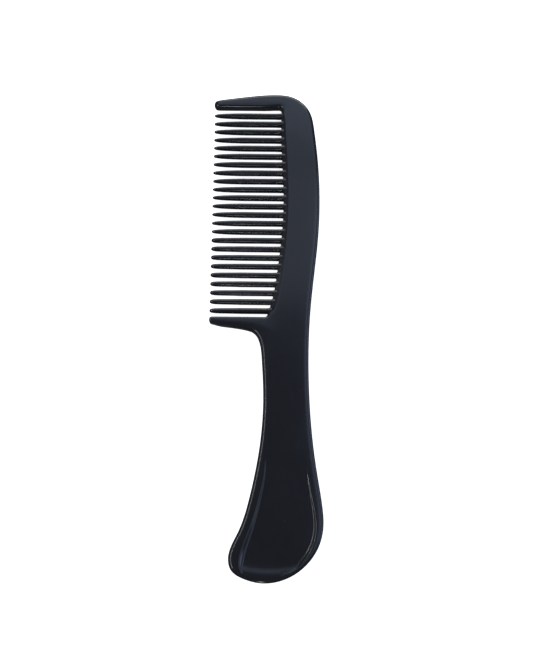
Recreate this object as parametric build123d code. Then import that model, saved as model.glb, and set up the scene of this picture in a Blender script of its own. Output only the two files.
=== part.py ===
from build123d import *
import os

# Flat handle comb: a curved spine and grip, a guard at each end of the row, and the teeth between.
#
# Frame, millimetres: the comb lies flat on Z = 0. +Y runs along it to the head, the teeth point to -X,
# and the origin is the middle of its bounding box at the underside. Each region of the moulding is a
# solid of its own, and neighbours meet face to face.

# Plate
THICKNESS = 5.0
EDGE_ROUND = 1.0
MID_HEIGHT = THICKNESS / 2

# Teeth
TOOTH_COUNT = 24
TOOTH_PITCH = 3.91
LAST_TOOTH_Y = 4.72
TOOTH_TIP_X = -23.4
TOOTH_BURIED_X = 9.0

# Bezier control points of a tooth's flank, as distance from the tip and half width: the teeth at the
# head end run out finer
FINE_FLANK = [(0.0, 0.0), (0.0, 0.55), (0.7, 0.94), (13.0, 1.15)]
BLUNT_FLANK = [(0.0, 0.0), (0.0, 1.32), (2.25, 0.91), (13.0, 1.15)]
FINE_TOOTH_COUNT = 15
TOOTH_HEIGHT_RATIO = 1.36

# Guards: straight inner edges, rounded noses
GUARD_TIP_X = -23.65
TIP_GUARD_INNER_Y = 98.2
TIP_NOSE_TOP_Y = 101.1
TIP_NOSE_ROUND = 1.55
TIP_NOSE_SIDE_ROUND = 2.6
HEEL_GUARD_INNER_Y = 1.87
HEEL_TIP_X = -23.4
HEEL_NOSE_LOW_Y = -0.6
HEEL_NOSE_ROUND = 1.15
TIP_ROOT_CORNER_X = 6.3
HEEL_ROOT_CORNER_X = 0.6
ROOT_CORNER_ROUND = 1.1

# Bevel that thins both faces towards the roots of the teeth
BEVEL_DROP = 0.9
BEVEL_WIDTH = 2.2
BEVEL_LEAD = 0.3
BEVEL_REACH_X = -3.0
BEVEL_HEEL_END = (1.0, 3.05)

# Thumb dish sunk in both faces of the grip: its floor tilts down from the neck and rises in a ramp at the end
DISH_DEPTH = 1.15
DISH_START_Y = -48.0
DISH_DEEPEST_Y = -95.0
DISH_END_Y = -102.6
DISH_WALL_INSET = 1.5

# Planes where the regions of the moulding meet
HANDLE_SPLIT_Y = -14.0
TIP_GUARD_SPLIT_X = 5.2
HEEL_SPLIT_TOP = (-0.8, HEEL_GUARD_INNER_Y)
HEEL_SPLIT_SLOPE = 0.58
HEEL_SPLIT_MARGIN = 3.0

# Longer than the comb, for blocks that only have to reach past it
FAR = 240.0

# Outer edge: over the head, down the back, round the grip and up to the heel guard
HEAD_EDGE = [(-19.5, 102.05), (-13.0, 103.1), (-6.0, 104.0), (4.5, 104.7), (10.7, 103.85), (16.0, 100.6)]
BACK_EDGE = [(19.2, 96.0), (20.9, 88.3), (22.5, 73.0), (23.15, 58.0), (22.5, 38.0), (20.5, 19.0), (18.9, 2.4)]
GRIP_BACK_EDGE = [(18.25, -17.0), (19.1, -41.0), (21.5, -61.8), (23.7, -76.0), (24.05, -82.0), (22.6, -89.6)]
GRIP_END = [(17.4, -97.6), (9.4, -103.0), (1.0, -104.74), (-7.4, -103.1), (-12.4, -99.7), (-13.4, -94.7)]
GRIP_FRONT_EDGE = [(-9.9, -85.8), (-5.5, -72.3), (-2.0, -54.5), (-0.4, -33.0), (-1.2, -15.7)]
NECK_EDGE = [(-2.4, -8.3), (-4.3, -5.1), (-8.6, -3.4), (-15.8, -2.3), (-19.6, -1.65)]
HEAD_DIRECTION = (1.0, 0.2)
HEEL_DIRECTION = (-1.0, 0.25)

# Line of the tooth roots, and where the bevel runs out on the face
ROOT_LINE = [(6.3, 94.0), (6.6, 77.0), (7.5, 58.0), (7.1, 42.0), (5.0, 22.0), (1.75, 5.4)]
BEVEL_LINE = [(7.4, 97.2), (8.4, 87.0), (9.3, 72.0), (9.55, 54.0), (8.8, 36.5), (6.6, 15.8), (2.6, 2.9)]

# Rim of the thumb dish on the face
DISH_RIM = [(8.6, -44.0), (2.4, -47.0), (0.9, -58.0), (-0.7, -69.0), (-3.3, -78.8), (-6.7, -88.4)]
DISH_RIM += [(-8.9, -95.6), (-7.9, -99.9), (-3.2, -102.3), (3.2, -102.6), (9.7, -100.9), (15.5, -96.8)]
DISH_RIM += [(19.3, -91.4), (21.0, -84.5), (20.4, -77.0), (18.9, -69.5), (17.4, -61.5), (15.8, -53.0)]
DISH_RIM += [(14.4, -47.0)]


def direction(start, end):
    """Vector from one outline point to another."""
    return (end[0] - start[0], end[1] - start[1])


def comb_outline():
    """Closed outline of the comb without its teeth."""
    outer_points = HEAD_EDGE + BACK_EDGE + GRIP_BACK_EDGE + GRIP_END + GRIP_FRONT_EDGE + NECK_EDGE
    outer = Spline(*outer_points, tangents=[HEAD_DIRECTION, HEEL_DIRECTION])
    tip_corner = (TIP_ROOT_CORNER_X, TIP_GUARD_INNER_Y)
    heel_corner = (HEEL_ROOT_CORNER_X, HEEL_GUARD_INNER_Y)
    tip_guard = FilletPolyline(
        HEAD_EDGE[0],
        (GUARD_TIP_X, TIP_NOSE_TOP_Y),
        (GUARD_TIP_X, TIP_GUARD_INNER_Y),
        tip_corner,
        ROOT_LINE[0],
        radius=[TIP_NOSE_ROUND, TIP_NOSE_ROUND, ROOT_CORNER_ROUND],
    )
    root_tangents = [direction(tip_corner, ROOT_LINE[0]), direction(ROOT_LINE[-1], heel_corner)]
    roots = Spline(*ROOT_LINE, tangents=root_tangents)
    heel_guard = FilletPolyline(
        ROOT_LINE[-1],
        heel_corner,
        (HEEL_TIP_X, HEEL_GUARD_INNER_Y),
        (HEEL_TIP_X, HEEL_NOSE_LOW_Y),
        NECK_EDGE[-1],
        radius=[ROOT_CORNER_ROUND, HEEL_NOSE_ROUND, HEEL_NOSE_ROUND],
    )
    return make_face([outer, tip_guard, roots, heel_guard])


def on_both_faces(cutter):
    """A cutter for the upper face, joined by its mirror image for the lower face."""
    return [cutter, mirror(cutter, about=Plane.XY.offset(MID_HEIGHT))]


def bevel_section(edge_points, height):
    """Level section of the bevel cutter: from the given edge out into the row of teeth."""
    edge = Spline(*edge_points)
    first, last = edge_points[0], edge_points[-1]
    sides = Polyline(last, (BEVEL_REACH_X, last[1]), (BEVEL_REACH_X, first[1]), first)
    return Pos(0, 0, height) * make_face([edge, sides])


def bevel_cutter():
    """Wedge that slopes the upper face down to the roots of the teeth, and starts a little way out."""
    edge = [(TIP_ROOT_CORNER_X, BEVEL_LINE[0][1])] + ROOT_LINE + [BEVEL_HEEL_END]
    low_edge = [(x - BEVEL_LEAD, y) for x, y in edge]
    low_height = THICKNESS - BEVEL_DROP * (1 + BEVEL_LEAD / BEVEL_WIDTH)
    low = bevel_section(low_edge, low_height)
    high = bevel_section(BEVEL_LINE, THICKNESS)
    return loft([low, high], ruled=True)


def dish_cutter():
    """Hollow with sloping walls over a floor that tilts down to the grip's end and rises again."""
    rim = make_face(Spline(*DISH_RIM, periodic=True))
    foot = offset(rim, -DISH_WALL_INSET)
    hollow = loft([Pos(0, 0, THICKNESS) * rim, Pos(0, 0, THICKNESS - DISH_WALL_INSET) * foot], ruled=True)
    deepest = (DISH_DEEPEST_Y, THICKNESS - DISH_DEPTH)
    above_floor = Polyline((DISH_START_Y, THICKNESS), deepest, (DISH_END_Y, THICKNESS), close=True)
    wedge = extrude(Plane.YZ * make_face(above_floor), amount=FAR, both=True)
    return hollow & wedge


def block(low, high):
    """Block of the plate's thickness between two corners of the plan."""
    width, length = high[0] - low[0], high[1] - low[1]
    return Pos(low[0], low[1], 0) * Box(width, length, THICKNESS, align=(Align.MIN, Align.MIN, Align.MIN))


def nose_cutter():
    """What the tip guard loses where its nose is round in side view too."""
    round_x = GUARD_TIP_X + MID_HEIGHT
    ahead = block((-FAR, HEEL_GUARD_INNER_Y), (round_x, FAR))
    kept = Cylinder(TIP_NOSE_SIDE_ROUND, 2 * FAR, rotation=(90, 0, 0))
    return ahead - Pos(round_x, 0, MID_HEIGHT) * kept


def moulded_body():
    """The whole comb without its teeth."""
    body = extrude(comb_outline(), amount=THICKNESS)
    rims = body.faces().sort_by(Axis.Z)[0].edges() + body.faces().sort_by(Axis.Z)[-1].edges()
    body = fillet(rims, EDGE_ROUND)
    for cutter in on_both_faces(bevel_cutter()) + on_both_faces(dish_cutter()) + [nose_cutter()]:
        body = body - cutter
    return body


def tooth_blank(flank):
    """One tooth at Y = 0: a turned profile stretched in height, its root end buried in the spine."""
    half_width = flank[-1][1]
    buried = TOOTH_BURIED_X - TOOTH_TIP_X
    rest = Polyline(flank[-1], (buried, half_width), (buried, 0), flank[0])
    turned = revolve(make_face([Bezier(*flank), rest]), Axis.X)
    return Pos(TOOTH_TIP_X, 0, MID_HEIGHT) * scale(turned, by=(1, 1, TOOTH_HEIGHT_RATIO))


def heel_region():
    """Block that holds the heel guard, cut off along the line where the guard leaves the neck."""
    high, low = HEEL_GUARD_INNER_Y + HEEL_SPLIT_MARGIN, NECK_EDGE[1][1] - HEEL_SPLIT_MARGIN
    split_x, split_y = HEEL_SPLIT_TOP
    high_x = split_x + HEEL_SPLIT_SLOPE * (high - split_y)
    low_x = split_x + HEEL_SPLIT_SLOPE * (low - split_y)
    plan = make_face(Polyline((-FAR, high), (high_x, high), (low_x, low), (-FAR, low), close=True))
    return extrude(plan, THICKNESS)


def regions(body):
    """The moulding cut into the regions that a person names."""
    tip_block = block((-FAR, (TIP_GUARD_INNER_Y + HEEL_GUARD_INNER_Y) / 2), (TIP_GUARD_SPLIT_X, FAR))
    handle_block = block((-FAR, -FAR), (FAR, HANDLE_SPLIT_Y))
    heel_block = heel_region()
    return {
        "tip_guard": body & tip_block,
        "heel_guard": body & heel_block,
        "handle": body & handle_block,
        "spine": body - tip_block - heel_block - handle_block,
    }


def comb_nodes():
    """Every node by name, with the origin moved to the middle of the bounding box."""
    body = moulded_body()
    nodes = regions(body)
    fine, blunt = tooth_blank(FINE_FLANK), tooth_blank(BLUNT_FLANK)
    for index in range(TOOTH_COUNT):
        blank = fine if index < FINE_TOOTH_COUNT else blunt
        height = LAST_TOOTH_Y + TOOTH_PITCH * (TOOTH_COUNT - 1 - index)
        nodes[f"tooth_{index + 1:02d}"] = Pos(0, height, 0) * blank - nodes["spine"]
    middle = body.bounding_box().center()
    return {name: Pos(-middle.X, -middle.Y, 0) * shape for name, shape in nodes.items()}


os.makedirs("parts", exist_ok=True)
for node_name, node_shape in comb_nodes().items():
    export_step(node_shape, f"parts/{node_name}.step")
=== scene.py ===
import math

import bmesh
import bpy
import numpy as np
from mathutils import Matrix, Vector, geometry


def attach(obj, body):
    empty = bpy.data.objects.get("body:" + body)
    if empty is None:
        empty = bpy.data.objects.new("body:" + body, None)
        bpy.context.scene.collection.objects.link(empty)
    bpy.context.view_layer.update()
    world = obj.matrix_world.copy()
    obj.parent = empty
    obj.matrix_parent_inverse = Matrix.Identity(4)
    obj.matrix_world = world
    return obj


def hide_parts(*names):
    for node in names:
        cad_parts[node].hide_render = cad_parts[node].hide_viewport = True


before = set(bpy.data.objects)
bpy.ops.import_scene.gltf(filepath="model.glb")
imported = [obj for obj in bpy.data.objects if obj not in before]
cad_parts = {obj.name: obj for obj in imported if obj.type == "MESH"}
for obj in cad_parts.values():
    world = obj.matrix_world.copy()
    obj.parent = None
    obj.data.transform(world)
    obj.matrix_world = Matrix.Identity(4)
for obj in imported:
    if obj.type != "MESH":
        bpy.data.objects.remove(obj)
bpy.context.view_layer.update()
mm = 0.001

# The comb lies flat: +Y runs to the head, the teeth point to -X, and lengths in the dictionaries are
# millimetres


def chordTangents(points, startWay, endWay):
    # Tangents of the cubic through all the points that keeps its bend continuous, with the chords as steps
    steps = np.linalg.norm(np.diff(points, axis=0), axis=1)
    slopes = np.diff(points, axis=0) / steps[:, None]
    count = len(points)
    inner = np.arange(1, count - 1)
    system = np.zeros((count, count))
    system[inner, inner - 1] = steps[1:]
    system[inner, inner] = 2 * (steps[:-1] + steps[1:])
    system[inner, inner + 1] = steps[:-1]
    system[0, 0] = system[-1, -1] = 1
    wanted = np.zeros((count, 2))
    wanted[0] = np.array(startWay) / np.linalg.norm(startWay)
    wanted[-1] = np.array(endWay) / np.linalg.norm(endWay)
    wanted[inner] = 3 * (steps[1:, None] * slopes[:-1] + steps[:-1, None] * slopes[1:])
    return steps, np.linalg.solve(system, wanted)


def smoothCurve(points, startWay, endWay, perSpan=80):
    # Cubic Hermite spans: each span blends its two ends and their tangents
    points = np.array(points, float)
    steps, tangents = chordTangents(points, startWay, endWay)
    t = np.linspace(0, 1, perSpan, endpoint=False)[None, :, None]
    reach = steps[:, None, None]
    start = (2 * t**3 - 3 * t**2 + 1) * points[:-1, None]
    start = start + (t**3 - 2 * t**2 + t) * reach * tangents[:-1, None]
    end = (3 * t**2 - 2 * t**3) * points[1:, None] + (t**3 - t**2) * reach * tangents[1:, None]
    return np.vstack([(start + end).reshape(-1, 2), points[-1:]])


def roundedPath(corners, radii, perArc=48):
    # Straight runs joined by tangent arcs, each starting the radius times the tangent of half the turn
    # before its corner
    corners = np.array(corners, float)
    parts = [corners[:1]]
    for before, corner, after, radius in zip(corners[:-2], corners[1:-1], corners[2:], radii):
        arriving = (corner - before) / np.linalg.norm(corner - before)
        leaving = (after - corner) / np.linalg.norm(after - corner)
        turn = math.atan2(arriving[0] * leaving[1] - arriving[1] * leaving[0], arriving @ leaving)
        start = corner - arriving * radius * math.tan(abs(turn) / 2)
        side = np.array([-arriving[1], arriving[0]]) * math.copysign(1, turn)
        angle = np.linspace(0, turn, perArc)[:, None]
        arm = -side * radius
        swung = arm * np.cos(angle) + np.array([-arm[1], arm[0]]) * np.sin(angle)
        parts.append(start + side * radius + swung)
    return np.vstack(parts + [corners[-1:]])


def evenly(path, spacing, extra=None):
    # Points at equal steps of length round a closed path, and any values given along it
    loop = np.vstack([path, path[:1]])
    along = np.concatenate([[0], np.cumsum(np.linalg.norm(np.diff(loop, axis=0), axis=1))])
    stops = np.linspace(0, along[-1], round(along[-1] / spacing), endpoint=False)
    points = np.stack([np.interp(stops, along, loop[:, 0]), np.interp(stops, along, loop[:, 1])], axis=1)
    if extra is None:
        return points
    return points, np.interp(stops, along, np.append(extra, extra[0]))


def inwardNormals(loop):
    # The loop's direction turned a quarter left, which points inwards on an anticlockwise loop
    ahead = np.roll(loop, -1, axis=0) - np.roll(loop, 1, axis=0)
    ahead /= np.linalg.norm(ahead, axis=1)[:, None]
    return np.stack([-ahead[:, 1], ahead[:, 0]], axis=1)


def anticlockwise(loop):
    # Positive when the loop's shoelace area is positive
    x, y = loop[:, 0], loop[:, 1]
    return np.sum(x * np.roll(y, -1) - y * np.roll(x, -1)) > 0


def blurred(values, reach):
    # Running average round a closed loop, taken twice so that it has no corners
    window = np.ones(2 * reach + 1) / (2 * reach + 1)
    for _ in range(2):
        padded = np.concatenate([values[-reach:], values, values[:reach]])
        values = np.convolve(padded, window, mode="valid")
    return values


def distanceTo(loop, points):
    # Distance from each point to the nearest stretch of the loop, positive where a ray to the right crosses
    # the loop an odd number of times
    a, b = loop, np.roll(loop, -1, axis=0)
    step = b - a
    best = np.full(len(points), np.inf)
    crossings = np.zeros(len(points), int)
    for block in np.array_split(np.arange(len(loop)), max(1, len(loop) // 64)):
        offset = points[:, None] - a[block]
        t = np.clip(np.sum(offset * step[block], axis=2) / np.sum(step[block] ** 2, axis=1), 0, 1)
        best = np.minimum(best, np.linalg.norm(offset - t[..., None] * step[block], axis=2).min(axis=1))
        above = (a[block, 1] > points[:, 1:]) != (b[block, 1] > points[:, 1:])
        rise = np.where(step[block, 1] == 0, 1, step[block, 1])
        meets = a[block, 0] + (points[:, 1:] - a[block, 1]) / rise * step[block, 0]
        crossings += np.sum(above & (points[:, :1] < meets), axis=1)
    return np.where(crossings % 2 == 1, best, -best)


plate = {
    "halfThickness": 2.5,
    "headEdge": [(-19.5, 102.05), (-13.0, 103.1), (-6.0, 104.0), (4.5, 104.7), (10.7, 103.85), (16.0, 100.6)],
    "backEdge": [(19.2, 96.0), (20.9, 88.3), (22.5, 73.0), (23.15, 58.0), (22.5, 38.0), (20.5, 19.0),
                 (18.9, 2.4)],
    "gripBackEdge": [(18.25, -17.0), (19.1, -41.0), (21.5, -61.8), (23.7, -76.0), (24.05, -82.0),
                     (22.6, -89.6)],
    "gripEnd": [(17.4, -97.6), (9.4, -103.0), (1.0, -104.74), (-7.4, -103.1), (-12.4, -99.7), (-13.4, -94.7)],
    "gripFrontEdge": [(-9.9, -85.8), (-5.5, -72.3), (-2.0, -54.5), (-0.4, -33.0), (-1.2, -15.7)],
    "neckEdge": [(-2.4, -8.3), (-4.3, -5.1), (-8.6, -3.4), (-15.8, -2.3), (-19.6, -1.65)],
    "headWay": (1.0, 0.2),
    "heelWay": (-1.0, 0.25),
    "tipGuard": [(-23.65, 101.1), (-23.65, 98.2), (6.3, 98.2)],
    "heelGuard": [(0.6, 1.87), (-23.4, 1.87), (-23.4, -0.6)],
    "rootLine": [(6.3, 94.0), (6.6, 77.0), (7.5, 58.0), (7.1, 42.0), (5.0, 22.0), (1.75, 5.4)],
    "tipNoseRound": 1.55,
    "tipNoseSide": 2.65,       # how far back the tip guard's nose is round in side view
    "heelNoseRound": 1.15,
    "rootCornerRound": 1.1,
    "edgeRound": 1.6,          # outer edges of the spine and handle
    "guardRound": 1.0,         # where the guards narrow to their noses
    "bevelDrop": 0.9,
    "bevelWidths": [(1.0, 1.3), (5.0, 2.3), (13.0, 2.5), (54.0, 2.1), (77.0, 2.4), (90.0, 1.9), (97.0, 1.1)],
    "bevelEase": 0.3,
    "crown": 0.16,             # how much lower the faces are at their edges than along the middle
    "crownReach": 10.0,
    "partingRidge": 0.03,
    "wallRows": (0.0, 0.02, 0.05, 0.5, 0.95),          # as shares of the wall's height
    "wallInset": (-1.0, -0.5, 0, 0, 0),                # as shares of the parting ridge
    "bevelRows": (0, 0.01, 0.03, 0.06, 0.1, 0.25, 0.45, 0.62, 0.76, 0.86, 0.94, 1.0),
    "bevelLip": 0.25,
    "roundRows": 12,
    "profileBlend": 1.2,       # length along the outline over which one edge profile turns into another
    "noseBlend": 1.6,          # more narrows the stretch where the guards' round grows to the outer one
    "wearReach": 0.7,
    "spacing": 0.3,
    "faceSpacing": 0.9,
    "faceMargin": 0.4,
}
headSideY = 50                 # beyond this only the tip guard lies to the left of the roots

dish = {
    "rim": [(8.6, -44.0), (2.4, -47.0), (0.9, -58.0), (-0.7, -69.0), (-3.3, -78.8), (-6.7, -88.4),
            (-8.8, -94.9), (-8.8, -98.9), (-5.6, -103.0), (-0.5, -105.2), (5.0, -105.2), (10.6, -102.4),
            (15.7, -97.0), (19.3, -91.4), (21.0, -84.5), (20.4, -77.0), (18.9, -69.5), (17.4, -61.5),
            (15.8, -53.0), (14.4, -47.0)],
    "startY": -57.0,
    "fallSlope": 0.029,
    "startSoft": 3.0,
    "rampCentre": (2.0, -80.5),
    "rampReach": (30.0, 21.8),
    "rampSlope": 0.27,
    "rampSoft": 1.4,
    "bottomSoft": 0.5,
    "wallSlope": 0.8,
    "rimRoll": 0.3,
    "footCove": 0.45,          # as a share of the depth there
    "ringMargin": 0.3,
    "ringOffsets": (-0.7, -0.45, -0.3, -0.15, 0.0, 0.15, 0.3, 0.5, 0.7, 0.9, 1.1, 1.3, 1.5, 1.7, 1.95, 2.3),
    "spacing": 0.4,
}


def closedCurve(points):
    # The smooth curve through the points and back to the first, read from the middle of a longer one
    points = np.array(points, float)
    lead = 5
    longer = np.vstack([points[-lead:], points, points[:lead + 1]])
    perSpan = 80
    curve = smoothCurve(longer, longer[1] - longer[0], longer[-1] - longer[-2], perSpan)
    return curve[lead * perSpan:(lead + len(points)) * perSpan]


def plateOutline():
    # One closed loop: the outer curve, the heel guard, the line of the roots and the tip guard
    outerPoints = sum((plate[name] for name in
                       ("headEdge", "backEdge", "gripBackEdge", "gripEnd", "gripFrontEdge", "neckEdge")), [])
    outer = smoothCurve(outerPoints, plate["headWay"], plate["heelWay"])
    heel = plate["heelGuard"]
    tip = plate["tipGuard"]
    rootPoints = plate["rootLine"][::-1]
    heelPath = roundedPath([outerPoints[-1], heel[2], heel[1], heel[0], rootPoints[0]],
                           [plate["heelNoseRound"], plate["heelNoseRound"], plate["rootCornerRound"]])
    startWay = np.subtract(rootPoints[0], heel[0])
    endWay = np.subtract(tip[2], rootPoints[-1])
    roots = smoothCurve(rootPoints, startWay, endWay)
    tipPath = roundedPath([rootPoints[-1], tip[2], tip[1], tip[0], outerPoints[0]],
                          [plate["rootCornerRound"], plate["tipNoseRound"], plate["tipNoseRound"]])
    kinds = [(outer, 0), (heelPath, 1), (roots, 2), (tipPath, 1)]
    path = np.vstack([part[:-1] for part, _ in kinds])
    kind = np.concatenate([np.full(len(part) - 1, number) for part, number in kinds])
    if not anticlockwise(path):
        path, kind = path[::-1], kind[::-1]
    middle = (path.min(axis=0) + path.max(axis=0)) / 2
    loop, kind = evenly(path, plate["spacing"], kind)
    return loop, kind, middle


def roundProfile(radius):
    # Half an edge: up the wall from the parting ridge, then a quarter circle on to the face
    high = plate["halfThickness"]
    inset = np.array(plate["wallInset"]) * plate["partingRidge"]
    angle = np.linspace(0, math.pi / 2, plate["roundRows"])
    shoulder = high - radius
    out = inset[None] + 0 * radius[:, None]
    up = np.array(plate["wallRows"])[None] * shoulder[:, None]
    arcOut = radius[:, None] * (1 - np.cos(angle))
    arcUp = shoulder[:, None] + radius[:, None] * np.sin(angle)
    return np.hstack([out, arcOut]) + plate["partingRidge"], np.hstack([up, arcUp])


def bevelProfile(width):
    # Half the root edge: up the wall, over a small round, up the straight bevel and on to the face in a
    # soft bend
    high, drop, ease, lip = (plate[name] for name in ("halfThickness", "bevelDrop", "bevelEase", "bevelLip"))
    slope = (drop / width)[:, None]
    low = high - drop
    wall = np.array(plate["wallRows"]) * (low - lip)
    inset = np.array(plate["wallInset"]) * plate["partingRidge"]
    out = np.array(plate["bevelRows"])[None] * (width + ease)[:, None]
    line = low + slope * out
    over = np.clip(1 - out / lip, 0, 1)
    lipDrop = (lip + slope * lip) * (1 - np.sqrt(np.clip(1 - over**2, 0, 1)))
    bend = np.clip(out - (width - ease)[:, None], 0, 2 * ease)
    line = line - slope * bend**2 / (4 * ease) - lipDrop
    out = np.hstack([inset[None] + 0 * slope, out])
    return out + plate["partingRidge"], np.hstack([wall[None] + 0 * slope, line])


def roll(value, reach):
    # The positive part with its corner rounded: a parabola from -reach to reach
    return np.where(value > reach, value, np.clip(value + reach, 0, None) ** 2 / (4 * reach))


def softMin(first, second, reach):
    # The smaller of the two, rounded where they cross
    return first - roll(first - second, reach)


def dishDepth(points, inside):
    # A floor that falls steadily from the neck and climbs a ramp round the grip's end, the ramp measured in
    # from an ellipse, under walls that fall from the rim at one slope
    fall = dish["fallSlope"] * roll(dish["startY"] - points[:, 1], dish["startSoft"])
    across, down = ((points - dish["rampCentre"]) / dish["rampReach"]).T
    within = dish["rampReach"][1] * (1 - np.hypot(across, np.minimum(down, 0)))
    ramp = dish["rampSlope"] * roll(within, dish["rampSoft"])
    floor = np.maximum(softMin(fall, ramp, dish["bottomSoft"]), 1e-6)
    wall = dish["wallSlope"] * roll(inside, dish["rimRoll"])
    return softMin(wall, floor, dish["footCove"] * floor)


def crownFactor(distance):
    # Thins the plate towards its edges by a parabola that dies out at the crown's reach
    away = np.clip(1 - distance / plate["crownReach"], 0, 1)
    return 1 - plate["crown"] / plate["halfThickness"] * away**2


def noseFactor(x, y):
    # Thins the tip guard's nose as an ellipse that starts half a thickness back from its end
    back = np.clip(plate["tipGuard"][0][0] + plate["halfThickness"] - x, 0, plate["halfThickness"])
    back = back * (y > headSideY)
    return np.sqrt(1 - (back / plate["tipNoseSide"]) ** 2)


def ringStack(loop, kind):
    # The edge profile carried round the outline: columns along the loop, rows from the parting line to
    # the face
    count = round(plate["profileBlend"] / plate["spacing"])
    normals = inwardNormals(loop)
    noseZone = blurred((kind > 0.5).astype(float) * (loop[:, 0] < 0), 3 * count)
    narrowing = np.clip(noseZone * plate["noseBlend"], 0, 1)
    radius = plate["edgeRound"] + (plate["guardRound"] - plate["edgeRound"]) * narrowing
    roundOut, roundUp = roundProfile(radius)
    heights, widths = np.array(plate["bevelWidths"]).T
    bevelOut, bevelUp = bevelProfile(np.interp(loop[:, 1], heights, widths))
    onRoot = blurred((kind > 1.5).astype(float), count)[:, None]
    out = roundOut + (bevelOut - roundOut) * onRoot
    up = roundUp + (bevelUp - roundUp) * onRoot
    ring = loop[:, None] + normals[:, None] * out[..., None]
    return ring, up, out


def fillFace(edgeLoop, loop, dishLoop):
    # Delaunay triangles inside the last ring: chains that follow the dish's walls and a loose grid elsewhere,
    # whose every other row is half a step along
    inward = inwardNormals(dishLoop)
    offsets = np.array(dish["ringOffsets"])
    chains = (dishLoop[None] + inward[None] * offsets[:, None, None]).reshape(-1, 2)
    kept = distanceTo(edgeLoop, chains) > dish["ringMargin"]
    number = (np.cumsum(kept) - 1).reshape(len(offsets), -1)
    joined = kept.reshape(number.shape) & np.roll(kept.reshape(number.shape), -1, axis=1)
    links = np.stack([number, np.roll(number, -1, axis=1)], axis=2)[joined] + len(edgeLoop)
    lowest, highest = loop.min(axis=0), loop.max(axis=0)
    step = plate["faceSpacing"]
    gridX, gridY = np.meshgrid(np.arange(lowest[0], highest[0], step),
                               np.arange(lowest[1], highest[1], step))
    loose = np.stack([gridX.ravel(), gridY.ravel()], axis=1)
    loose[:, 0] += step / 2 * (np.round((loose[:, 1] - lowest[1]) / step) % 2)
    loose = loose[distanceTo(edgeLoop, loose) > plate["faceMargin"]]
    toDish = distanceTo(dishLoop, loose)
    loose = loose[(toDish < offsets[0] - dish["ringMargin"]) | (toDish > offsets[-1] + dish["ringMargin"])]
    points = np.vstack([edgeLoop, chains[kept], loose])
    around = np.arange(len(edgeLoop))
    edges = np.vstack([np.stack([around, np.roll(around, -1)], axis=1), links])
    flat = [Vector(point) for point in points.tolist()]
    made = geometry.delaunay_2d_cdt(flat, edges.tolist(), [around.tolist()], 1, 1e-5)
    source = np.array([origins[0] if origins else -1 for origins in made[3]])    # -1 where chains crossed
    faces = source[np.array(made[2])]
    whole = np.all(faces >= 0, axis=1)
    print("plate face made:", len(faces), "triangles,", np.sum(~whole), "dropped")
    return points, distanceTo(dishLoop, points), faces[whole]


def plateMesh():
    # Rings and faces joined into one closed skin, the lower half a mirror image of the upper
    loop, kind, middle = plateOutline()
    ring, up, out = ringStack(loop, kind)
    dishLoop = evenly(closedCurve(dish["rim"]), dish["spacing"])
    if not anticlockwise(dishLoop):
        dishLoop = dishLoop[::-1]
    points, dishInside, triangles = fillFace(ring[:, -1], loop, dishLoop)
    columns = len(up)
    faceUp = plate["halfThickness"] - dishDepth(points, dishInside)
    faceUp *= crownFactor(np.maximum(distanceTo(loop, points), 0))
    up = up * crownFactor(np.maximum(out, 0))
    faceUp[:columns] = up[:, -1]
    up = up * noseFactor(ring[..., 0], ring[..., 1])
    faceUp = faceUp * noseFactor(points[:, 0], points[:, 1])
    lower = np.dstack([ring[:, :0:-1], -up[:, :0:-1]])
    upper = np.dstack([ring, up])
    wall = np.concatenate([lower, upper], axis=1)
    wallRows = wall.shape[1]
    number = np.arange(columns * wallRows).reshape(columns, wallRows)
    beside = np.roll(number, -1, axis=0)
    quads = np.stack([number[:, :-1], beside[:, :-1], beside[:, 1:], number[:, 1:]], axis=2).reshape(-1, 4)
    top = columns * wallRows
    inner = len(points) - columns
    topNumber = np.concatenate([number[:, -1], top + np.arange(inner)])
    bottomNumber = np.concatenate([number[:, 0], top + inner + np.arange(inner)])
    inner3 = np.column_stack([points[columns:], faceUp[columns:]])
    vertices = np.vstack([wall.reshape(-1, 3), inner3, inner3 * [1, 1, -1]])
    fromEdge = np.abs(np.concatenate([out[:, :0:-1], out], axis=1))
    edgeWear = np.exp(-fromEdge / plate["wearReach"]).ravel()
    edgeWear = np.concatenate([edgeWear, np.zeros(2 * inner)])
    faces = quads.tolist() + topNumber[triangles].tolist() + bottomNumber[triangles[:, ::-1]].tolist()
    vertices[:, :2] -= middle
    vertices[:, 2] += plate["halfThickness"]
    return vertices * mm, faces, edgeWear, middle


def addMesh(name, vertices, faces, wear):
    # One smooth-shaded piece with its place in its mesh, and the wear of its edges as an attribute
    mesh = bpy.data.meshes.new(name)
    mesh.from_pydata(vertices.tolist(), [], faces)
    mesh.polygons.foreach_set("use_smooth", np.ones(len(mesh.polygons), bool))
    mesh.attributes.new("edgeWear", "FLOAT", "POINT").data.foreach_set("value", wear.astype(np.float32))
    mesh.validate()
    piece = bpy.data.objects.new(name, mesh)
    bpy.context.scene.collection.objects.link(piece)
    return piece


cuts = {
    "handleY": -14.0,
    "tipGuardX": 5.2,
    "heelPoint": (-0.8, 1.87),
    "heelSlope": 0.58,
    "heelReach": (-9, 4.5),    # from which Y to which the heel's cut counts
    "handleZone": (-30, -16, 30, -12),
    "tipGuardZone": (3, 90, 7, 110),
    "heelZone": (-8, -9, 2, 4.5),
}


def regionOf(x, y):
    # Which side of the cuts a point of the plan is on: 0 spine, 1 handle, 2 tip guard, 3 heel guard
    heelX = cuts["heelPoint"][0] + cuts["heelSlope"] * (y - cuts["heelPoint"][1])
    region = np.zeros(np.shape(x), int)
    region = np.where(y < cuts["handleY"], 1, region)
    region = np.where((x < cuts["tipGuardX"]) & (y > headSideY), 2, region)
    lowest, highest = cuts["heelReach"]
    return np.where((x < heelX) & (y > lowest) & (y < highest), 3, region)


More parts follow.
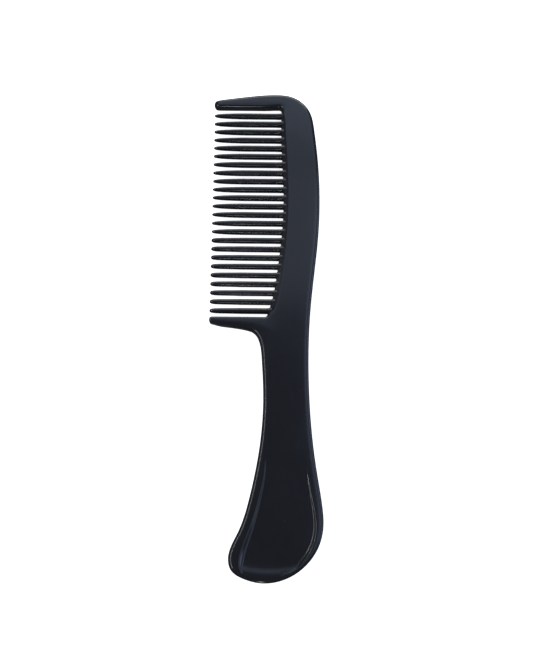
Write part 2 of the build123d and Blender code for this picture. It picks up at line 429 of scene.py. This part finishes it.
def cutPlate(vertices, faces, wear, middle):
    # The skin is cut along the three upright planes, only within each one's zone of the plan, and each
    # region's cut is closed with a flat cap
    whole = addMesh("plate", vertices, faces, wear)
    form = bmesh.new()
    form.from_mesh(whole.data)
    planes = [((0, cuts["handleY"]), (0, 1), cuts["handleZone"]),
              ((cuts["tipGuardX"], 0), (1, 0), cuts["tipGuardZone"]),
              (cuts["heelPoint"], (1, -cuts["heelSlope"]), cuts["heelZone"])]
    for at, across, (lowX, lowY, highX, highY) in planes:
        lowX, highX = (lowX - middle[0]) * mm, (highX - middle[0]) * mm
        lowY, highY = (lowY - middle[1]) * mm, (highY - middle[1]) * mm
        near = [face for face in form.faces
                if all(lowX < v.co.x < highX and lowY < v.co.y < highY for v in face.verts)]
        parts = set(near)
        parts |= {edge for face in near for edge in face.edges}
        parts |= {vertex for face in near for vertex in face.verts}
        point = ((at[0] - middle[0]) * mm, (at[1] - middle[1]) * mm, 0)
        bmesh.ops.bisect_plane(form, geom=list(parts), dist=1e-7, plane_co=point, plane_no=(*across, 0))
    form.faces.ensure_lookup_table()
    centres = np.array([face.calc_center_median()[:2] for face in form.faces]) / mm + middle
    region = regionOf(centres[:, 0], centres[:, 1])
    pieces = []
    for number, name in enumerate(("spine", "handle", "tipGuard", "heelGuard")):
        part = form.copy()
        part.faces.ensure_lookup_table()
        others = [part.faces[i] for i in np.nonzero(region != number)[0]]
        bmesh.ops.delete(part, geom=others, context="FACES")
        rim = [edge for edge in part.edges if len(edge.link_faces) == 1]
        caps = bmesh.ops.holes_fill(part, edges=rim)["faces"]
        for cap in caps:
            cap.smooth = False
        for edge in rim:
            edge.smooth = False
        bmesh.ops.recalc_face_normals(part, faces=part.faces)
        bmesh.ops.triangulate(part, faces=caps)
        mesh = bpy.data.meshes.new(name)
        part.to_mesh(mesh)
        part.free()
        piece = bpy.data.objects.new(name, mesh)
        bpy.context.scene.collection.objects.link(piece)
        pieces.append(piece)
        print("plate region made:", name, len(mesh.polygons), "faces,", len(caps), "caps")
    form.free()
    bpy.data.objects.remove(whole)
    return pieces


teeth = {
    "count": 24,
    "pitch": 3.91,
    "lastY": 4.72,
    "tipX": -23.4,
    "fineCount": 15,
    "fineFlank": [(0.0, 0.0), (0.0, 0.7), (0.7, 1.02), (13.0, 1.2)],
    "bluntFlank": [(0.0, 0.0), (0.0, 1.38), (2.25, 0.97), (13.0, 1.2)],
    "heightRatio": 1.36,
    "power": 2.2,              # 2 is an ellipse, more is squarer
    "flare": 0.4,
    "crestRise": 0.26,
    "crestLead": 3.0,
    "crestRun": 1.9,
    "bevelWidth": 2.2,
    "buried": 2.4,
    "partingRidge": 0.02,
    "ridgeWidth": 0.06,        # as a share of the half height
    "ridgeAngles": (2.5, 6.0),
    "flankPoints": 34,
    "flankEase": 1.3,          # more crowds the flank's points towards the tip
    "straightStations": 14,
    "rootStations": 30,
    "sides": 36,
    "wearReach": 1.2,
    "unevenness": 0.05,
    "seed": 11,
}


def rootAt(y, rootCurve):
    # Where the line of the roots is at that height
    return np.interp(y, rootCurve[::-1, 1], rootCurve[::-1, 0])


def flankCurve(control):
    # Cubic Bezier: the control points weighted by 1, 3, 3, 1 times powers of t and of what t leaves of one
    first, second, third, fourth = np.array(control)
    t = (np.linspace(0, 1, teeth["flankPoints"]) ** teeth["flankEase"])[:, None]
    left = 1 - t
    return left**3 * first + 3 * left**2 * t * second + 3 * left * t**2 * third + t**3 * fourth


def toothMesh(centreY, flank, rootCurve, wobble):
    # A superellipse carried along X: half width from the flank curve and a quarter-circle flare at the root,
    # half height a fixed ratio of it, blending into a crest that runs on over the bevel and dies out there
    nose = flankCurve(flank)
    rootX = rootAt(centreY, rootCurve)
    length = rootX - teeth["tipX"]
    straight = np.linspace(nose[-1, 0], length - teeth["crestLead"], teeth["straightStations"])[1:]
    run = length + np.linspace(-teeth["crestLead"], teeth["buried"], teeth["rootStations"])[1:]
    along = np.concatenate([nose[1:, 0], straight, run])
    halfWidth = np.interp(along, nose[:, 0], nose[:, 1])
    halfHeight = halfWidth * teeth["heightRatio"]
    beyond = along - length
    flare = np.clip(1 + beyond / teeth["flare"], 0, 1)
    halfWidth = halfWidth + teeth["flare"] * (1 - np.sqrt(1 - flare**2))
    rise = np.clip(1 + beyond / teeth["crestLead"], 0, 1)
    low = plate["halfThickness"] - plate["bevelDrop"]
    bevel = low + plate["bevelDrop"] * np.clip(beyond, 0, None) / teeth["bevelWidth"]
    fade = np.clip(1 - np.clip(beyond, 0, None) / teeth["crestRun"], 0, 1)
    crest = bevel + teeth["crestRise"] * (2 * fade - 1)
    halfHeight = halfHeight + (crest - halfHeight) * rise**2 * (3 - 2 * rise)
    even = np.linspace(0, 2 * math.pi, teeth["sides"], endpoint=False)
    fine = np.radians(teeth["ridgeAngles"])
    angle = np.sort(np.concatenate([even, fine, -fine % (2 * math.pi), math.pi + fine, math.pi - fine]))
    across, height = np.cos(angle), np.sin(angle)
    bend = 2 / teeth["power"]
    ridge = teeth["partingRidge"] * np.exp(-(height / teeth["ridgeWidth"]) ** 2) * np.sign(across)
    y = halfWidth[:, None] * np.sign(across) * np.abs(across) ** bend
    y = y + ridge * np.clip(halfWidth, 0, 1)[:, None]
    z = halfHeight[:, None] * np.sign(height) * np.abs(height) ** bend
    lean = (along / length)[:, None]
    shear = rootAt(centreY + y, rootCurve) - rootX
    x = teeth["tipX"] + along[:, None] + shear * np.clip(lean, 0, 1) ** 8
    tipward = 1 - np.clip(lean, 0, 1)
    y = y + wobble[0] * tipward**2
    z = z + wobble[1] * tipward**2
    x = x + wobble[2] * tipward
    rings = np.dstack([x, centreY + y, z])
    stations, sides = y.shape
    tip = [[teeth["tipX"] + wobble[2], centreY + wobble[0], wobble[1]]]
    end = [[rings[-1, :, 0].mean(), centreY, 0]]
    vertices = np.vstack([tip, rings.reshape(-1, 3), end])
    number = 1 + np.arange(stations * sides).reshape(stations, sides)
    beside = np.roll(number, -1, axis=1)
    quads = np.stack([number[:-1], beside[:-1], beside[1:], number[1:]], axis=2).reshape(-1, 4).tolist()
    last = len(vertices) - 1
    tipFan = np.stack([np.zeros(sides, int), beside[0], number[0]], axis=1).tolist()
    endFan = np.stack([np.full(sides, last), number[-1], beside[-1]], axis=1).tolist()
    wear = np.concatenate([[1], np.repeat(np.exp(-along / teeth["wearReach"]), sides), [0]])
    return vertices, quads + tipFan + endFan, wear


class Wire:
    # A node's output in a material tree; arithmetic on it adds Math nodes

    def __init__(self, tree, socket=None):
        # Without a socket it only starts new nodes
        self.tree = tree
        self.socket = socket

    def node(self, kind, settings=None, inputs=None, output=0):
        # Settings first, then the values or links of its sockets; gives the wire of one output
        made = self.tree.nodes.new(kind)
        for name, value in (settings or {}).items():
            if name == "stops":
                for number, (place, colour) in enumerate(value):
                    stop = made.color_ramp.elements[number]    # a new ramp has two stops
                    stop.position, stop.color = place, colour
            else:
                setattr(made, name, value)
        for name, value in (inputs or {}).items():
            if isinstance(value, Wire):
                self.tree.links.new(value.socket, made.inputs[name])
            else:
                made.inputs[name].default_value = value
        return Wire(self.tree, made.outputs[output] if made.outputs else None)

    def math(self, operation, first, second):
        # One Math node of two values
        return self.node("ShaderNodeMath", {"operation": operation}, {0: first, 1: second})

    def mix(self, share, first, second):
        # One Mix node of two colours, from the first to the second by the share
        return self.node("ShaderNodeMix", {"data_type": "RGBA"}, {0: share, 6: first, 7: second}, output=2)

    def __add__(self, other):
        return self.math("ADD", self, other)

    def __radd__(self, other):
        return self.math("ADD", other, self)

    def __sub__(self, other):
        return self.math("SUBTRACT", self, other)

    def __rsub__(self, other):
        return self.math("SUBTRACT", other, self)

    def __mul__(self, other):
        return self.math("MULTIPLY", self, other)

    def __rmul__(self, other):
        return self.math("MULTIPLY", other, self)


blackPlastic = {
    "deepColour": (0.0075, 0.0082, 0.0108, 1),
    "hazeColour": (0.0125, 0.0138, 0.0175, 1),
    "wornColour": (0.030, 0.032, 0.038, 1),
    "dustColour": (0.22, 0.23, 0.25, 1),
    "wornShare": 0.5,
    "dustShare": 0.6,
    "roughness": 0.17,
    "hazeRoughness": 0.06,
    "scratchRoughness": 0.03,
    "dustRoughness": 0.4,
    "wornPolish": 0.03,
    "hazeScale": 55.0,
    "grainSize": 0.00045,      # metres, like the depths and the places below
    "grainDepth": 0.0000012,
    "waveSize": 0.012,
    "waveDepth": 0.00002,
    "scratchTurn": 0.35,
    "scratchScale": (900.0, 60.0, 60.0),
    "scratchFrom": 0.60,
    "scratchFull": 0.72,
    "scratchLift": 0.15,       # as a share of the grain's depth
    "speckScale": 260.0,
    "speckFull": 0.03,
    "speckEnd": 0.06,
    "patchScale": 90.0,
    "patchFrom": 0.60,
    "patchFull": 0.70,
    "dustFromY": -0.058,
    "dustFadeY": 0.012,
    "indexOfRefraction": 1.5,
}
dark = (0, 0, 0, 1)
light = (1, 1, 1, 1)


def plasticMaterial():
    # Near-black moulded plastic: a hazy skin, a fine grain, slow sink waves, handling scratches and, in the
    # grip, a little dust where specks, patches and the way down the grip multiply to more than nothing
    given = blackPlastic
    material = bpy.data.materials.new("blackMouldedPlastic")
    material.use_nodes = True
    tree = material.node_tree
    tree.nodes.clear()
    start = Wire(tree)
    place = start.node("ShaderNodeTexCoord", output="Object")
    wear = start.node("ShaderNodeAttribute", {"attribute_name": "edgeWear"}, output="Fac")
    haze = start.node("ShaderNodeTexNoise",
                      inputs={"Vector": place, "Scale": given["hazeScale"], "Detail": 4.0, "Roughness": 0.6})
    grain = start.node("ShaderNodeTexNoise",
                       inputs={"Vector": place, "Scale": 1 / given["grainSize"], "Detail": 2.0})
    waves = start.node("ShaderNodeTexNoise",
                       inputs={"Vector": place, "Scale": 1 / given["waveSize"], "Detail": 1.0})
    stretched = start.node("ShaderNodeMapping",
                           inputs={"Vector": place, "Rotation": (0, 0, given["scratchTurn"]),
                                   "Scale": given["scratchScale"]})
    scratches = start.node("ShaderNodeTexNoise", inputs={"Vector": stretched, "Scale": 1.0, "Detail": 3.0})
    scratchMask = start.node("ShaderNodeValToRGB",
                             {"stops": [(given["scratchFrom"], dark), (given["scratchFull"], light)]},
                             {"Fac": scratches})
    specks = start.node("ShaderNodeTexVoronoi", inputs={"Vector": place, "Scale": given["speckScale"]})
    speckMask = start.node("ShaderNodeValToRGB",
                           {"stops": [(given["speckFull"], light), (given["speckEnd"], dark)]}, {"Fac": specks})
    patches = start.node("ShaderNodeTexNoise",
                         inputs={"Vector": place, "Scale": given["patchScale"], "Detail": 2.0})
    patchMask = start.node("ShaderNodeValToRGB",
                           {"stops": [(given["patchFrom"], dark), (given["patchFull"], light)]},
                           {"Fac": patches})
    alongY = start.node("ShaderNodeSeparateXYZ", inputs={"Vector": place}, output="Y")
    gripward = start.node("ShaderNodeMapRange", inputs={"Value": alongY, "From Min": given["dustFromY"],
                                                        "From Max": given["dustFromY"] - given["dustFadeY"]})
    dust = speckMask * patchMask * gripward
    skin = start.mix(haze, given["deepColour"], given["hazeColour"])
    worn = start.mix(wear * haze * given["wornShare"], skin, given["wornColour"])
    dusty = start.mix(dust * given["dustShare"], worn, given["dustColour"])
    roughness = (given["roughness"] + (haze - 0.5) * given["hazeRoughness"]
                 + scratchMask * given["scratchRoughness"] + dust * given["dustRoughness"]
                 - wear * given["wornPolish"])
    waveBump = start.node("ShaderNodeBump",
                          inputs={"Height": waves, "Distance": given["waveDepth"], "Strength": 1.0})
    grainBump = start.node("ShaderNodeBump", inputs={"Height": grain + scratchMask * given["scratchLift"],
                                                     "Normal": waveBump, "Distance": given["grainDepth"],
                                                     "Strength": 1.0})
    shader = start.node("ShaderNodeBsdfPrincipled",
                        inputs={"Base Color": dusty, "Roughness": roughness, "Normal": grainBump,
                                "IOR": given["indexOfRefraction"]})
    start.node("ShaderNodeOutputMaterial", inputs={"Surface": shader})
    return material


vertices, faces, wear, middle = plateMesh()
regions = cutPlate(vertices, faces, wear, middle)
plastic = plasticMaterial()
for piece, node in zip(regions, ("spine", "handle", "tip_guard", "heel_guard")):
    piece.data.materials.append(plastic)
    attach(piece, "root")
    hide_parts(node)

random = np.random.default_rng(teeth["seed"])
rootPoints = plate["rootLine"]
rootCurve = smoothCurve(rootPoints, np.subtract(rootPoints[0], plate["tipGuard"][2]),
                        np.subtract(plate["heelGuard"][0], rootPoints[-1]))
for index in range(teeth["count"]):
    centreY = teeth["lastY"] + teeth["pitch"] * (teeth["count"] - 1 - index)
    wobble = random.normal(0, teeth["unevenness"], 3) * [1, 1, 0]
    flank = teeth["fineFlank"] if index < teeth["fineCount"] else teeth["bluntFlank"]
    vertices, faces, wear = toothMesh(centreY, flank, rootCurve, wobble)
    vertices = (vertices + [-middle[0], -middle[1], plate["halfThickness"]]) * mm
    tooth = addMesh(f"tooth{index + 1:02d}", vertices, faces, wear)
    tooth.data.materials.append(plastic)
    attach(tooth, "root")
    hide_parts(f"tooth_{index + 1:02d}")
print("teeth made:", teeth["count"])

studio = {
    "floorSize": 12.0,
    "floorColour": (0.86, 0.86, 0.86, 1),
    "floorGlow": 0.93,
    "panelDistance": 0.9,
    "cameraTarget": (0.7, -4.68, 2.5),
    "cameraDistance": 334.0,
    "cameraTilt": 13.5,
    "cameraRoll": 0.6,
    "lens": 43.24,
    "airColour": (0.92, 0.92, 1.0, 1),
    "air": 0.11,
}

# Panels round the comb: lean is degrees off the vertical, turn is 0 towards the head and 90 towards the
# teeth
panels = {
    "headLow": {"size": (0.9, 0.22), "lean": 23.0, "turn": 0.0, "radiance": 0.74,
                "colour": (0.66, 0.76, 1.0)},
    "headMiddle": {"size": (0.9, 0.3), "lean": 41.0, "turn": 0.0, "radiance": 1.2,
                   "colour": (0.62, 0.76, 1.0)},
    "headFar": {"size": (0.9, 0.35), "lean": 64.0, "turn": 0.0, "radiance": 4.0,
                "colour": (0.98, 1.0, 1.0)},
    "rightNear": {"size": (0.9, 0.3), "lean": 20.0, "turn": -90.0, "radiance": 1.26,
                  "colour": (0.54, 0.66, 1.0)},
    "rightMiddle": {"size": (0.9, 0.4), "lean": 45.0, "turn": -90.0, "radiance": 0.51,
                    "colour": (0.47, 0.7, 1.0)},
    "rightWindow": {"size": (0.9, 0.44), "lean": 76.0, "turn": -86.0, "radiance": 1.6,
                    "colour": (0.6, 0.72, 1.0)},
    "leftNear": {"size": (0.9, 0.3), "lean": 20.0, "turn": 90.0, "radiance": 0.16,
                 "colour": (0.75, 0.8, 1.0)},
    "leftStrip": {"size": (0.8, 0.06), "lean": 40.0, "turn": 97.0, "radiance": 15.0,
                  "colour": (0.94, 0.98, 1.0)},
    "leftFar": {"size": (0.9, 0.4), "lean": 70.0, "turn": 90.0, "radiance": 0.16,
                "colour": (0.9, 0.95, 1.0)},
    "footFar": {"size": (0.9, 0.5), "lean": 50.0, "turn": 180.0, "radiance": 0.05,
                "colour": (0.9, 0.95, 1.0)},
    "footStrip": {"size": (0.06, 0.2), "lean": 80.0, "turn": 176.5, "radiance": 16.0,
                  "colour": (0.97, 0.98, 1.0)},
}


def addPanel(name):
    # A rectangle of light that faces the comb; its power is its radiance times pi times its area
    given = panels[name]
    lamp = bpy.data.lights.new(name, "AREA")
    lamp.shape = "RECTANGLE"
    lamp.size, lamp.size_y = given["size"]
    lamp.energy = given["radiance"] * math.pi * lamp.size * lamp.size_y
    lamp.color = given["colour"]
    panel = bpy.data.objects.new(name, lamp)
    lean, turn = math.radians(given["lean"]), math.radians(given["turn"])
    towards = Vector((-math.sin(turn) * math.sin(lean), math.cos(turn) * math.sin(lean), math.cos(lean)))
    panel.location = towards * studio["panelDistance"]
    panel.rotation_euler = (-lean, 0, turn)
    bpy.context.scene.collection.objects.link(panel)


def addFloor():
    # A pale square under the comb that glows a little, and that the comb neither mirrors nor is lit by
    half = studio["floorSize"] / 2
    mesh = bpy.data.meshes.new("floor")
    corners = [(-half, -half, 0), (half, -half, 0), (half, half, 0), (-half, half, 0)]
    mesh.from_pydata(corners, [], [(0, 1, 2, 3)])
    floor = bpy.data.objects.new("floor", mesh)
    bpy.context.scene.collection.objects.link(floor)
    material = bpy.data.materials.new("paleFloor")
    material.use_nodes = True
    shader = material.node_tree.nodes["Principled BSDF"]
    shader.inputs["Base Color"].default_value = studio["floorColour"]
    shader.inputs["Roughness"].default_value = 1.0
    shader.inputs["Specular IOR Level"].default_value = 0.0
    shader.inputs["Emission Color"].default_value = (1, 1, 1, 1)
    shader.inputs["Emission Strength"].default_value = studio["floorGlow"]
    mesh.materials.append(material)
    floor.visible_glossy = False
    floor.visible_diffuse = False


def addCamera():
    # It looks at the target along a line tilted off the vertical towards the grip, then rolled about Z
    target = (Vector(studio["cameraTarget"]) - Vector((*middle, 0))) * mm
    tilt, roll = math.radians(studio["cameraTilt"]), math.radians(studio["cameraRoll"])
    up = Vector((-math.sin(roll), math.cos(roll), 0))
    back = -up * math.sin(tilt) + Vector((0, 0, math.cos(tilt)))
    side = up.cross(back).normalized()
    camera = bpy.data.objects.new("camera", bpy.data.cameras.new("camera"))
    camera.location = target + back * studio["cameraDistance"] * mm
    camera.rotation_euler = Matrix((side, back.cross(side), back)).transposed().to_euler()
    camera.data.lens = studio["lens"]
    camera.data.clip_start = 0.01
    bpy.context.scene.collection.objects.link(camera)
    bpy.context.scene.camera = camera


addCamera()
addFloor()
for name in panels:
    addPanel(name)
world = bpy.data.worlds.new("studio")
world.use_nodes = True
world.node_tree.nodes["Background"].inputs["Color"].default_value = studio["airColour"]
world.node_tree.nodes["Background"].inputs["Strength"].default_value = studio["air"]
bpy.context.scene.world = world
bpy.context.scene.view_settings.view_transform = "Standard"
print("studio made")
